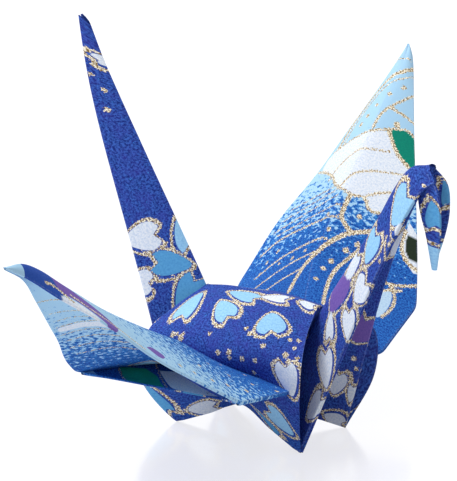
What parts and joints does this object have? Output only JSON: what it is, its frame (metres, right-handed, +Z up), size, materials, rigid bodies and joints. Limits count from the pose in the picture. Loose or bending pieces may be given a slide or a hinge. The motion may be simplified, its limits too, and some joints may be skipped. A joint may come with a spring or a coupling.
{
  "type": "origami crane",
  "caption": "Folded paper crane with spread wings, raised tail and bent head, standing on four folded corners; printed washi sheet.",
  "frame": {"origin": "floor point midway between the four folded corners that the crane stands on", "axes": "+Z up, +X towards the head and neck, +Y towards the wing at the crane's left"},
  "size_m": [0.0746, 0.133, 0.0684],
  "materials": {
    "washi": "matt, screen-printed"
  },
  "bodies": {
    "root": {"crane": "washi"}
  },
  "joints": []
}
